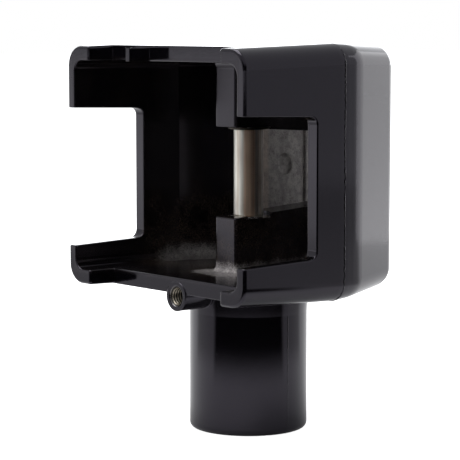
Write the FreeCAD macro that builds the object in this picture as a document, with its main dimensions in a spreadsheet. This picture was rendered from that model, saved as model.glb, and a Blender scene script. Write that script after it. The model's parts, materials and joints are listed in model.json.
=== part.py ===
"""Umbrella swivel bracket: a die-cast housing on a spigot, with a turning sleeve between two posts.

Frame: +Z up, millimetres. The origin is where the spigot's axis meets the underside of the housing.
The open front faces -Y, the two side windows face -X and +X, and the plane Y = 0 is the plane in which
the casting's two die halves met: every outer face drafts away from it.
"""
import FreeCAD
import Part
import Sketcher
import os
import re

Vector = FreeCAD.Vector

doc = FreeCAD.newDocument("umbrella_swivel_bracket")

# ---------------------------------------------------------------- driving dimensions
SIZES = [
    # housing, outside
    ("body_half", 44.7, "half width at the die parting plane"),
    ("body_height", 79.3, "height at the die parting plane"),
    ("front_reach", 39.75, "parting plane to the face of the front lips"),
    ("rear_reach", 34.5, "parting plane to the rear face"),
    ("draft", 1.8, "draft of the outer faces, degrees"),
    ("first_taper", 8.0, "how far the sides turn inwards at the parting plane, degrees"),
    ("side_taper", 24.0, "how far they have turned behind the bend, degrees"),
    ("bend_behind", 7.0, "how far behind the parting plane that bend is"),
    ("edge_round", 6.3, "radius of the long outer edges"),
    ("corner_round", 7.4, "plan radius of the upright rear corners"),
    ("waist_round", 20.0, "plan radius where the sides turn inwards"),
    ("lip_round", 0.9, "radius round the outside of the front face"),
    # housing, inside
    ("skin", 5.85, "top and bottom thickness at the parting plane"),
    ("side_wall", 4.8, "side thickness at the parting plane"),
    ("back_wall", 4.4, "thickness of the rear wall"),
    ("inner_round", 3.6, "radius of the inner corners"),
    ("inner_bend_behind", 3.8, "how far behind the parting plane the inner sides turn inwards"),
    # front edge
    ("rim_recess", 9.8, "how far the top and bottom rims stand behind the side lips"),
    ("notch_half", 32.2, "half width of the recess between the side lips"),
    ("notch_round", 0.8, "radius at the outer corners of the side lips"),
    ("edge_break", 0.4, "small radius along the edges of the windows, the lips and the rims"),
    ("fin_place", 14.25, "left-hand distance of the upper rim's fin from the centre"),
    ("fin_thick", 1.9, "thickness of the fin"),
    ("fin_reach", 8.0, "how far the fin stands out from the rim"),
    # side windows
    ("window_depth", 28.4, "front lip to the rear edge of the side windows"),
    ("window_low", 14.2, "lower edge of the windows at their rear"),
    ("window_high", 57.3, "upper edge of the windows at their rear"),
    ("window_draft", 1.65, "how the windows widen towards the front, degrees"),
    ("window_round", 2.6, "radius of the windows' rear corners"),
    # web and its two posts
    ("web_thick", 10.3, "thickness of the central web"),
    ("web_front", 9.9, "spigot axis to the front of the web"),
    ("gap_low", 23.65, "top of the lower post at its front"),
    ("gap_high", 52.4, "underside of the upper post at its front"),
    ("gap_draft", 3.6, "how the gap between the posts narrows towards the rear, degrees"),
    ("post_round", 1.1, "radius of the posts' edges"),
    ("post_top_round", 0.5, "radius of the edges that the gap leaves on the posts"),
    ("root_round", 2.4, "radius where the web meets the skin"),
    ("seat_low", 23.25, "height of the machined lower seat"),
    ("seat_high", 52.2, "height of the machined upper seat"),
    ("seat_radius", 7.0, "radius of the cutter that faced the seats"),
    # spigot
    ("spigot_radius", 19.0, "radius of the spigot"),
    ("spigot_length", 45.1, "underside to the end of the spigot"),
    ("spigot_root_grow", 0.45, "how much the radius grows towards the housing"),
    ("spigot_root_length", 7.0, "length over which it grows"),
    ("spigot_edge", 1.8, "radius of the spigot's lower edge"),
    ("core_radius", 14.2, "radius of the cored-out inside of the spigot"),
    ("core_roof", 7.0, "underside to the roof of the core"),
    ("core_chamfer", 0.8, "chamfer at the mouth of the core"),
    # clamp-screw boss under the front rim
    ("boss_radius", 4.7, "radius of the screw boss"),
    ("boss_length", 12.3, "length of the screw boss"),
    ("boss_proud", 0.3, "how far the boss stands out from the lower rim"),
    ("boss_end_round", 2.2, "radius of the boss's rear end"),
    ("thread_radius", 3.0, "nominal radius of the M6 clamp-screw thread"),
    ("thread_lead_in", 0.45, "depth of the countersink at the mouth"),
    ("thread_end_wall", 1.2, "metal left behind the clamp-screw hole"),
    # pivot
    ("sleeve_radius", 4.75, "outer radius of the pivot sleeve"),
    ("sleeve_chamfer", 0.25, "chamfer on the sleeve's ends"),
    ("washer_radius", 6.6, "outer radius of the thrust washers"),
    ("washer_thick", 0.55, "thickness of the thrust washers"),
    ("end_play", 0.05, "free height at each end of the sleeve"),
    ("turning_fit", 0.05, "radial clearance of what turns on the bolt"),
    ("bolt_radius", 3.0, "radius of the pivot bolt's shank"),
    ("bolt_hole_play", 0.3, "radial clearance of the bolt in the lower post"),
    ("bolt_thread_play", 0.02, "radial clearance in the tapped upper post"),
    ("bolt_reach", 13.0, "length of bolt above the upper seat"),
    ("bolt_hole_spare", 2.0, "empty depth of the tapped hole above the bolt"),
    ("head_radius", 5.0, "radius of the bolt's socket head"),
    ("head_height", 6.0, "height of the bolt's socket head"),
    ("head_chamfer", 0.5, "chamfer on the head"),
    ("hex_flats", 5.0, "width across flats of the hexagon socket"),
    ("hex_depth", 3.2, "depth of the hexagon socket"),
    ("flat_washer_radius", 6.0, "outer radius of the plain washer under the head"),
    ("flat_washer_thick", 1.6, "thickness of the plain washer"),
    ("lock_washer_radius", 5.4, "outer radius of the split lock washer"),
    ("lock_washer_thick", 1.6, "thickness of the split lock washer"),
    ("lock_washer_split", 0.9, "width of the split"),
    ("loose_fit", 0.15, "radial clearance of the fixed washers on the bolt"),
]

sheet = doc.addObject("Spreadsheet::Sheet", "Sizes")
for row, (name, size, note) in enumerate(SIZES, start=1):
    sheet.set("A%d" % row, name.replace("_", " "))
    sheet.set("B%d" % row, str(size))
    sheet.set("C%d" % row, note)
    sheet.setAlias("B%d" % row, name)
doc.recompute()

PLACES = {name: "Sizes." + name for name, _, _ in SIZES}


def bound(formula):
    """The formula with each size's name turned into a reference to the sheet."""
    return re.sub(r"[a-z_]+", lambda word: PLACES.get(word.group(), word.group()), formula)


def value(formula):
    """What a formula over the sheet's sizes comes to."""
    result = sheet.evalExpression(bound(formula))
    return float(getattr(result, "Value", result))


def bind(thing, prop, formula):
    """Tie one property of a feature, or one named constraint of a sketch, to the sheet."""
    thing.setExpression(prop, bound(formula))


# ---------------------------------------------------------------- sketching helpers
def plane_of(body, role):
    """The body's own origin plane with the given role."""
    return next(part for part in body.Origin.OriginFeatures if part.Role == role)


def new_sketch(body, role, name, offset=None):
    """A sketch on one of the body's origin planes, moved along the plane's normal if asked."""
    sketch = body.newObject("Sketcher::SketchObject", name)
    sketch.AttachmentSupport = [(plane_of(body, role), "")]
    sketch.MapMode = "FlatFace"
    if offset:
        bind(sketch, "AttachmentOffset.Base.z", offset)
    return sketch


def tie(sketch, kind, place, element, vertex, formula):
    """Hold one coordinate of a sketch point, measured from the sketch's origin."""
    size = value(formula)
    if abs(size) < 1e-9:
        axis = -2 if kind == "DistanceX" else -1
        sketch.addConstraint(Sketcher.Constraint("PointOnObject", element, vertex, axis))
        return
    if size > 0:
        rule = Sketcher.Constraint(kind, -1, 1, element, vertex, size)
        text = formula
    else:
        rule = Sketcher.Constraint(kind, element, vertex, -1, 1, -size)
        text = "-(" + formula + ")"
    index = sketch.addConstraint(rule)
    sketch.renameConstraint(index, place)
    bind(sketch, "Constraints." + place, text)


def polygon(sketch, corners):
    """A closed outline; each corner is a pair of formulas for its two coordinates."""
    points = [Vector(value(x), value(y), 0) for x, y in corners]
    count = len(points)
    for i in range(count):
        sketch.addGeometry(Part.LineSegment(points[i], points[(i + 1) % count]), False)
    for i in range(count):
        sketch.addConstraint(Sketcher.Constraint("Coincident", i, 2, (i + 1) % count, 1))
    for i, (x, y) in enumerate(corners):
        tie(sketch, "DistanceX", "x%d" % i, i, 1, x)
        tie(sketch, "DistanceY", "y%d" % i, i, 1, y)
    return sketch


def circle(sketch, radius, x="0", y="0"):
    """A circle with its centre and radius held by formulas."""
    centre = Vector(value(x), value(y), 0)
    index = sketch.addGeometry(Part.Circle(centre, Vector(0, 0, 1), value(radius)), False)
    tie(sketch, "DistanceX", "cx%d" % index, index, 3, x)
    tie(sketch, "DistanceY", "cy%d" % index, index, 3, y)
    rule = sketch.addConstraint(Sketcher.Constraint("Radius", index, value(radius)))
    sketch.renameConstraint(rule, "r%d" % index)
    bind(sketch, "Constraints.r%d" % index, radius)
    return sketch


def pad(body, sketch, name, length, both=False, flip=False):
    """Extrude a sketch into material."""
    feature = body.newObject("PartDesign::Pad", name)
    feature.Profile = sketch
    feature.Length = value(length)
    bind(feature, "Length", length)
    feature.Midplane = both
    feature.Reversed = flip
    doc.recompute()
    return feature


def pocket(body, sketch, name, length, both=False, flip=False):
    """Extrude a sketch into a cut, and make sure that it removed something."""
    before = body.Shape.Volume
    feature = body.newObject("PartDesign::Pocket", name)
    feature.Profile = sketch
    feature.Length = value(length)
    bind(feature, "Length", length)
    feature.Midplane = both
    feature.Reversed = flip
    doc.recompute()
    if not feature.Shape.Volume < before - 1e-6:
        raise RuntimeError(name + " cut nothing")
    return feature


def revolve(body, sketch, name):
    """Turn a sketch once round its own vertical axis."""
    turned = body.newObject("PartDesign::Revolution", name)
    turned.Profile = sketch
    turned.ReferenceAxis = (sketch, ["V_Axis"])
    turned.Angle = 360
    doc.recompute()


def edges_where(shape, test):
    """Names of the edges whose middle point passes a test."""
    names = []
    for index, edge in enumerate(shape.Edges, start=1):
        middle = edge.valueAt((edge.FirstParameter + edge.LastParameter) / 2)
        if test(edge, middle):
            names.append("Edge%d" % index)
    return names


def round_edges(body, name, radius, test):
    """Fillet the edges of the body's last feature that pass a test."""
    base = body.Tip
    names = edges_where(base.Shape, test)
    if not names:
        raise RuntimeError(name + " found no edge")
    feature = body.newObject("PartDesign::Fillet", name)
    feature.Base = (base, names)
    feature.Radius = value(radius)
    bind(feature, "Radius", radius)
    doc.recompute()
    if not feature.Shape.isValid():
        raise RuntimeError(name + " gave a bad shape")
    return feature


def near(a, b, within=1e-4):
    """True when two numbers agree."""
    return abs(a - b) < within


def direction(edge):
    """Unit vector from an edge's first point to its last; zero for a closed edge."""
    chord = edge.valueAt(edge.LastParameter) - edge.valueAt(edge.FirstParameter)
    return chord.normalize() if chord.Length > 1e-6 else Vector(0, 0, 0)


def is_upright(edge):
    """True for an edge that runs along Z."""
    return abs(direction(edge).z) > 0.999


# ---------------------------------------------------------------- housing, outside
def outer_casting():
    """The casting as if it were solid: drafted box, windows, front recess, fin, boss and spigot."""
    body = doc.addObject("PartDesign::Body", "casting")
    lip = "(body_half - front_reach * tan(draft * 1 deg))"
    bend = "(body_half - bend_behind * tan(first_taper * 1 deg))"
    rear = "(" + bend + " - (rear_reach - bend_behind) * tan(side_taper * 1 deg))"

    plan = new_sketch(body, "XY_Plane", "plan_of_body")
    polygon(plan, [
        ("-" + lip, "-front_reach"), (lip, "-front_reach"), ("body_half", "0"), (bend, "bend_behind"),
        (rear, "rear_reach"), ("-" + rear, "rear_reach"), ("-" + bend, "bend_behind"), ("-body_half", "0"),
    ])
    pad(body, plan, "body_block", "body_height")
    rear_y, rear_x, bend_y = value("rear_reach"), value(rear), value("bend_behind")
    round_edges(body, "rear_corners", "corner_round",
                lambda edge, mid: is_upright(edge) and near(mid.y, rear_y))
    round_edges(body, "waist_corners", "waist_round",
                lambda edge, mid: is_upright(edge) and (near(mid.y, bend_y) or near(mid.y, 0)))

    # the top and the underside slope away from the parting plane: wedges come off both
    rise_front = "(front_reach * tan(draft * 1 deg))"
    rise_rear = "(rear_reach * tan(draft * 1 deg))"
    under = new_sketch(body, "YZ_Plane", "under_draft")
    polygon(under, [
        ("-front_reach - 1", "-1"), ("rear_reach + 1", "-1"),
        ("rear_reach + 1", rise_rear + " + tan(draft * 1 deg)"), ("0", "0"),
        ("-front_reach - 1", rise_front + " + tan(draft * 1 deg)"),
    ])
    pocket(body, under, "under_wedges", "4 * body_half", both=True)
    over = new_sketch(body, "YZ_Plane", "over_draft")
    polygon(over, [
        ("-front_reach - 1", "body_height + 1"), ("rear_reach + 1", "body_height + 1"),
        ("rear_reach + 1", "body_height - " + rise_rear + " - tan(draft * 1 deg)"),
        ("0", "body_height"),
        ("-front_reach - 1", "body_height - " + rise_front + " - tan(draft * 1 deg)"),
    ])
    pocket(body, over, "over_wedges", "4 * body_half", both=True)
    top, front_y = value("body_height"), -value("front_reach")
    round_edges(body, "long_edges", "edge_round",
                lambda edge, mid: not is_upright(edge) and mid.y > front_y + 0.01
                and (mid.z < top * 0.1 or mid.z > top * 0.9)
                and (abs(mid.x) > rear_x * 0.8 or near(mid.y, rear_y)))
    round_edges(body, "front_edges", "lip_round", lambda edge, mid: near(mid.y, front_y))

    window = new_sketch(body, "YZ_Plane", "side_window")
    spread = "(window_depth + 1) * tan(window_draft * 1 deg)"
    polygon(window, [
        ("-front_reach - 1", "window_low - " + spread), ("window_depth - front_reach", "window_low"),
        ("window_depth - front_reach", "window_high"), ("-front_reach - 1", "window_high + " + spread),
    ])
    pocket(body, window, "side_windows", "4 * body_half", both=True)
    window_rear = value("window_depth - front_reach")
    round_edges(body, "window_corners", "window_round",
                lambda edge, mid: near(mid.y, window_rear) and abs(direction(edge).x) > 0.999)

    notch = new_sketch(body, "XY_Plane", "front_notch")
    polygon(notch, [
        ("-notch_half", "-front_reach - 1"), ("notch_half", "-front_reach - 1"),
        ("notch_half", "rim_recess - front_reach"), ("-notch_half", "rim_recess - front_reach"),
    ])
    pocket(body, notch, "front_recess", "4 * body_height", both=True)
    notch_x = value("notch_half")
    round_edges(body, "lip_corners", "notch_round",
                lambda edge, mid: is_upright(edge) and near(abs(mid.x), notch_x)
                and near(mid.y, front_y))

    rim_y = "(rim_recess - front_reach)"
    fin = new_sketch(body, "XY_Plane", "rim_fin", "body_height / 2")
    polygon(fin, [
        ("-fin_place - fin_thick / 2", rim_y + " - fin_reach"),
        ("-fin_place + fin_thick / 2", rim_y + " - fin_reach"),
        ("-fin_place + fin_thick / 2", rim_y + " + 1"), ("-fin_place - fin_thick / 2", rim_y + " + 1"),
    ])
    pad(body, fin, "fin", "body_height / 2 - front_reach * tan(draft * 1 deg) - notch_round / 2")

    boss = new_sketch(body, "XZ_Plane", "screw_boss",
                      "front_reach - rim_recess + boss_proud")
    circle(boss, "boss_radius")
    pad(body, boss, "boss", "boss_length", flip=True)
    boss_rear = value(rim_y + " - boss_proud + boss_length")
    round_edges(body, "boss_end", "boss_end_round",
                lambda edge, mid: near(mid.y, boss_rear) and mid.z < 0)
    return body


def spigot(body):
    """The spigot, turned about Z as one piece with the casting."""
    side = new_sketch(body, "XZ_Plane", "spigot_side")
    polygon(side, [
        ("0", "skin / 2"), ("spigot_radius + spigot_root_grow", "skin / 2"),
        ("spigot_radius + spigot_root_grow", "0"), ("spigot_radius", "-spigot_root_length"),
        ("spigot_radius", "-spigot_length"), ("0", "-spigot_length"),
    ])
    revolve(body, side, "spigot")
    end = -value("spigot_length")
    radius = value("spigot_radius")
    round_edges(body, "spigot_end", "spigot_edge",
                lambda edge, mid: near(mid.z, end) and near((mid.x ** 2 + mid.y ** 2) ** 0.5, radius))


# ---------------------------------------------------------------- housing, inside
def inner_core():
    """What the inside of the housing leaves out: one hollow each side of the web, joined by the gap."""
    body = doc.addObject("PartDesign::Body", "core")
    half = "(body_half - side_wall)"
    slope = "tan(side_taper * 1 deg)"
    back = "(rear_reach - back_wall)"
    back_half = "(" + half + " - (" + back + " - inner_bend_behind) * " + slope + ")"
    plan = new_sketch(body, "XY_Plane", "plan_of_core", "skin")
    polygon(plan, [
        ("-" + half, "-front_reach - 2"), (half, "-front_reach - 2"), (half, "inner_bend_behind"),
        (back_half, back), ("-" + back_half, back), ("-" + half, "inner_bend_behind"),
    ])
    pad(body, plan, "core_block", "body_height - 2 * skin")
    back_y, low, high = value(back), value("skin"), value("body_height - skin")
    front = -value("front_reach") - 2
    round_edges(body, "core_corners", "inner_round",
                lambda edge, mid: is_upright(edge) and near(mid.y, back_y))
    round_edges(body, "core_edges", "inner_round",
                lambda edge, mid: (near(mid.z, low) or near(mid.z, high)) and not near(mid.y, front))

    web = new_sketch(body, "XY_Plane", "plan_of_web")
    polygon(web, [
        ("-web_thick / 2", "-web_front"), ("web_thick / 2", "-web_front"),
        ("web_thick / 2", "rear_reach"), ("-web_thick / 2", "rear_reach"),
    ])
    pocket(body, web, "web_slot", "body_height", flip=True)
    web_x, web_y = value("web_thick / 2"), -value("web_front")
    round_edges(body, "web_front_edges", "post_round",
                lambda edge, mid: is_upright(edge) and near(abs(mid.x), web_x) and near(mid.y, web_y))
    round_edges(body, "web_roots", "root_round",
                lambda edge, mid: (near(mid.z, low) or near(mid.z, high))
                and abs(mid.x) < web_x + 0.01 and mid.y > web_y - 0.01)
    return body


def gap_block():
    """The gap between the two posts, narrowing towards the rear wall."""
    body = doc.addObject("PartDesign::Body", "post_gap")
    back = "(rear_reach - back_wall)"
    close = "(" + back + " + web_front) * tan(gap_draft * 1 deg)"
    open_more = "2 * tan(gap_draft * 1 deg)"
    side = new_sketch(body, "YZ_Plane", "side_of_gap")
    polygon(side, [
        ("-web_front - 2", "gap_low - " + open_more), (back, "gap_low + " + close),
        (back, "gap_high - " + close), ("-web_front - 2", "gap_high + " + open_more),
    ])
    pad(body, side, "gap", "web_thick + 1", both=True)
    return body


def turned_tool(name, label, profile):
    """A solid of revolution about Z whose half outline is a list of (radius, height) formulas."""
    body = doc.addObject("PartDesign::Body", name)
    body.Label = label
    side = new_sketch(body, "XZ_Plane", name + "_side")
    polygon(side, profile)
    revolve(body, side, name + "_turned")
    return body


def clamp_hole():
    """The tapped hole of the boss, open at the front: a countersunk mouth and a drilled end."""
    body = doc.addObject("PartDesign::Body", "clamp_hole")
    mouth = "(rim_recess - front_reach - boss_proud)"
    end = mouth + " + boss_length - thread_end_wall"
    side = new_sketch(body, "XY_Plane", "clamp_hole_side")
    polygon(side, [
        ("0", mouth + " - 1"), ("thread_radius + thread_lead_in + 1", mouth + " - 1"),
        ("thread_radius", mouth + " + thread_lead_in"), ("thread_radius", end + " - thread_radius / 2"),
        ("0", end),
    ])
    revolve(body, side, "clamp_hole_turned")
    return body


def break_edges(body):
    """Small rounds along the edges of the windows, the side lips and the inside of the rims."""
    half, front = value("body_half - side_wall"), -value("front_reach")
    window_rear, rim = value("window_depth - front_reach"), value("rim_recess - front_reach")
    low, high = value("skin"), value("body_height - skin")
    sill, head = value("window_low"), value("window_high")
    lean = value("tan(draft * 1 deg)")
    outside, notch_x = value("body_half"), value("notch_half")

    def round_window(edge, mid):
        beside = front + 1 < mid.y < window_rear + 0.01 and sill - 1 < mid.z < head + 1
        on_outside = near(abs(mid.x), outside + mid.y * lean, 0.05)
        return beside and edge.Length > 2 and (on_outside or near(abs(mid.x), half))

    def on_lip(mid):
        at_window = abs(mid.x) > half and sill - 2 < mid.z < head + 2
        inner_line = notch_x < abs(mid.x) < half + 0.01 and low - 0.01 < mid.z < high + 0.01
        return near(mid.y, front) and (at_window or inner_line)

    def on_rim(mid):
        beside_notch = near(abs(mid.x), notch_x) and mid.y < rim
        return (near(mid.z, low) or near(mid.z, high)) and (beside_notch or near(mid.y, rim))

    round_edges(body, "broken_edges", "edge_break",
                lambda edge, mid: round_window(edge, mid) or on_lip(mid) or on_rim(mid))


def round_posts(body):
    """Round the edges that the gap leaves on the two posts."""
    side, corner = value("web_thick / 2"), value("post_round - web_front")
    low, high = value("gap_low") - 1, value("gap_high") + 1
    back = value("rear_reach - back_wall - inner_round")

    def on_post(edge, mid):
        on_outline = near(abs(mid.x), side) or mid.y < corner
        return on_outline and not is_upright(edge) and low < mid.z < high and mid.y < back

    round_edges(body, "post_edges", "post_top_round", on_post)


def bracket_housing():
    """The finished casting: cast shape first, then the machined seats, bores and thread."""
    casting = outer_casting()
    spigot(casting)
    core = inner_core()
    gap = gap_block()
    hollows = doc.addObject("Part::MultiFuse", "hollows")
    hollows.Shapes = [core, gap]
    doc.recompute()
    hollowed = doc.addObject("Part::Cut", "hollowed")
    hollowed.Base = casting
    hollowed.Tool = hollows
    hollowed.Refine = True
    doc.recompute()
    cast = doc.addObject("PartDesign::Body", "cast_housing")
    cast.BaseFeature = hollowed
    doc.recompute()
    break_edges(cast)
    round_posts(cast)

    bolt_hole = "(bolt_radius + bolt_hole_play)"
    tapped = "(bolt_radius + bolt_thread_play)"
    hole_top = "(seat_high + bolt_reach + bolt_hole_spare)"
    bore = turned_tool("bore", "bore", [
        ("0", "-spigot_length - 1"), ("core_radius + core_chamfer + 1", "-spigot_length - 1"),
        ("core_radius", "-spigot_length + core_chamfer"), ("core_radius", "-core_roof"),
        (bolt_hole, "-core_roof"), (bolt_hole, "seat_low"), ("seat_radius", "seat_low"),
        ("seat_radius", "seat_high"), (tapped, "seat_high"), (tapped, hole_top), ("0", hole_top),
    ])
    cutters = doc.addObject("Part::MultiFuse", "cutters")
    cutters.Shapes = [bore, clamp_hole()]
    doc.recompute()
    housing = doc.addObject("Part::Cut", "housing")
    housing.Base = cast
    housing.Tool = cutters
    housing.Label = "bracket_housing"
    doc.recompute()
    return housing


# ---------------------------------------------------------------- pivot
def washer(name, inner, outer, low, thick):
    """A flat ring about Z."""
    return turned_tool(name, name, [
        (inner, low), (outer, low), (outer, low + " + " + thick), (inner, low + " + " + thick),
    ])


def pivot_pieces():
    """The sleeve that carries the arm's eye, with a thrust washer at each end."""
    bore = "(bolt_radius + turning_fit)"
    low = "(seat_low + washer_thick + end_play)"
    high = "(seat_high - washer_thick - end_play)"
    sleeve = turned_tool("pivot_sleeve", "pivot_sleeve", [
        (bore, low), ("sleeve_radius - sleeve_chamfer", low), ("sleeve_radius", low + " + sleeve_chamfer"),
        ("sleeve_radius", high + " - sleeve_chamfer"), ("sleeve_radius - sleeve_chamfer", high),
        (bore, high),
    ])
    lower = washer("lower_thrust_washer", bore, "washer_radius", "seat_low", "washer_thick")
    upper = washer("upper_thrust_washer", bore, "washer_radius", "(seat_high - washer_thick)",
                   "washer_thick")
    return [sleeve, lower, upper]


def bolt_pieces():
    """The bolt that holds the pivot, put in from below through the spigot, with its two washers."""
    under = "(-core_roof - flat_washer_thick - lock_washer_thick)"
    foot = "(-core_roof - flat_washer_thick - lock_washer_thick - head_height)"
    top = "(seat_high + bolt_reach)"
    bolt = turned_tool("pivot_bolt", "pivot_bolt", [
        ("0", foot), ("head_radius - head_chamfer", foot), ("head_radius", foot + " + head_chamfer"),
        ("head_radius", under), ("bolt_radius", under), ("bolt_radius", top + " - head_chamfer"),
        ("bolt_radius - head_chamfer", top), ("0", top),
    ])
    socket = new_sketch(bolt, "XY_Plane", "hex_socket", foot)
    corner = "hex_flats / (2 * cos(30 deg))"
    turn = [("cos(%d deg)" % angle, "sin(%d deg)" % angle) for angle in range(0, 360, 60)]
    polygon(socket, [(corner + " * " + cos, corner + " * " + sin) for cos, sin in turn])
    pocket(bolt, socket, "hex_recess", "hex_depth", flip=True)

    play = "(bolt_radius + loose_fit)"
    flat = washer("bolt_plain_washer", play, "flat_washer_radius",
                  "(-core_roof - flat_washer_thick)", "flat_washer_thick")
    lock = washer("bolt_lock_washer", play, "lock_washer_radius", under, "lock_washer_thick")
    split = new_sketch(lock, "XY_Plane", "split", under)
    polygon(split, [("0", "-lock_washer_split / 2"), ("lock_washer_radius + 1", "-lock_washer_split / 2"),
                    ("lock_washer_radius + 1", "lock_washer_split / 2"), ("0", "lock_washer_split / 2")])
    pocket(lock, split, "split_cut", "lock_washer_thick", flip=True)
    return [bolt, flat, lock]


# ---------------------------------------------------------------- build, test and write
nodes = [bracket_housing()] + pivot_pieces() + bolt_pieces()
doc.recompute()
for item in doc.Objects:
    if {"Invalid", "Error"} & set(item.State):
        raise RuntimeError("%s failed: %s" % (item.Name, item.State))
for node in nodes:
    shape = node.Shape
    if shape.isNull() or not shape.isValid():
        raise RuntimeError(node.Label + " has no valid shape")
    if len(shape.Solids) != 1:
        raise RuntimeError("%s has %d solids" % (node.Label, len(shape.Solids)))

os.makedirs("parts", exist_ok=True)
for node in nodes:
    node.Shape.exportStep("parts/%s.step" % node.Label)
    print("%-22s %10.1f mm3" % (node.Label, node.Shape.Volume))
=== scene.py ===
"""Finishes and small cast details of the umbrella swivel bracket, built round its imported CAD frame."""
import json
import math

import bpy
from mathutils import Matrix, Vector


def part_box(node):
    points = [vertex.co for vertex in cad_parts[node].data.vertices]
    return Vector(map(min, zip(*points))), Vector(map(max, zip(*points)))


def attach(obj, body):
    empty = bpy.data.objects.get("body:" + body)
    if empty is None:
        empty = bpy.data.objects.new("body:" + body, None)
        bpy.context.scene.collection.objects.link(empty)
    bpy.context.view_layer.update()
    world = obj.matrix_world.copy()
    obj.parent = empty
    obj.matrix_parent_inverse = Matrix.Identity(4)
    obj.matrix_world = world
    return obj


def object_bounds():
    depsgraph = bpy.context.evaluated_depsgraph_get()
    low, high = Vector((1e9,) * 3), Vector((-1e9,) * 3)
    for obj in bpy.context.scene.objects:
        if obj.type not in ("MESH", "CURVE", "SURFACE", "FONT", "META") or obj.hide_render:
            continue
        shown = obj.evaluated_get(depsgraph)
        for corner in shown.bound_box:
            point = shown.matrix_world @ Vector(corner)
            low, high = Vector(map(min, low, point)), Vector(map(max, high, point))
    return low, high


bl_info = {
    "name": "Umbrella Swivel Bracket",
    "version": (1, 0, 0),
    "blender": (4, 5, 0),
    "location": "View3D > Sidebar > Bracket",
    "description": "Paints the die-cast bracket and adds its parting flash, screw thread and ejector mark",
    "category": "Object",
}

MM = 0.001
ROOT = "root"
BOLT_PIECES = ("pivot_bolt", "bolt_plain_washer", "bolt_lock_washer")
# how far each thrust washer is darkened, from none (0) to all over (1): a few greasy smears on the lower
# one, painted shade all over the upper one, which sits in the shadow under the upper post
THRUST_WASHERS = {"lower_thrust_washer": 0.1, "upper_thrust_washer": 1.0}

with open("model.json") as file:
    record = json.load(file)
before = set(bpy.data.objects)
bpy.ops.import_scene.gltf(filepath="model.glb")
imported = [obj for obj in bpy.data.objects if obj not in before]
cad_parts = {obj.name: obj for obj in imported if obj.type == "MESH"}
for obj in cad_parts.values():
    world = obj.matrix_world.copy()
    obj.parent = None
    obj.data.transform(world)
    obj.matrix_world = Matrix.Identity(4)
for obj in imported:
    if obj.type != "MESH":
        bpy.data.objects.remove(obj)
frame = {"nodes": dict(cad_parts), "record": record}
CAD_LOW, CAD_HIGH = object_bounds()
MOUNTS = {mount["name"]: mount for mount in frame["record"]["mounts"]}

BODY_HALF = CAD_HIGH.x
BODY_TOP = CAD_HIGH.z
SPIGOT_END = CAD_LOW.z
SPIGOT_RADIUS = MOUNTS["spigot"]["dims"]["r_mm"] * MM
SPIGOT_STRAIGHT = MOUNTS["spigot"]["pos_m"][2]
THREAD_RADIUS = MOUNTS["clamp_screw_hole"]["dims"]["r_mm"] * MM
SEAT_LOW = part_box("lower_thrust_washer")[0].z
SEAT_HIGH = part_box("upper_thrust_washer")[1].z
SLEEVE_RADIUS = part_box("pivot_sleeve")[1].x

# tones of dirt, wear and stains, and of painted shade and a painted reflection
DUST_NIB = (0.02, 0.02, 0.021, 1)
FLASH_NIB = (0.02, 0.02, 0.02, 1)
DRY_SPRAY = (0.016, 0.0115, 0.0095, 1)
PALE_DUST = (0.085, 0.062, 0.048, 1)
# painted shade for the bore of the screw hole
HOLE_SHADE = (0.012, 0.009, 0.007, 1)
WALL_STAIN = (0.62, 0.52, 0.45, 1)
WORN_PAINT = (0.03, 0.03, 0.032, 1)
# painted reflection on the side of the sleeve that faces the camera
CAMERA_SIDE_REFLECTION = (0.80, 0.52, 0.34, 1)
BROWN_BAND = (0.45, 0.33, 0.23, 1)
BROWN_HAIR = (0.25, 0.19, 0.14, 1)
RUST_PIT = (0.10, 0.07, 0.05, 1)
# dark tone for greasy smears, and for the painted shade of the upper thrust washer
GREASE_AND_SHADE = (0.035, 0.028, 0.022, 1)
DULL_ZINC = (0.34, 0.35, 0.34, 1)
# painted shade for the roots of the tapped thread
THREAD_ROOT_SHADE = (0.012, 0.009, 0.006, 1)
THREAD_CREST = (0.44, 0.39, 0.31, 1)
CLOTH_DARK = (0.002, 0.002, 0.002, 1)
CLOTH_PALE = (0.006, 0.006, 0.006, 1)
BLACK = (0, 0, 0, 1)
WHITE = (1, 1, 1, 1)


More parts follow.
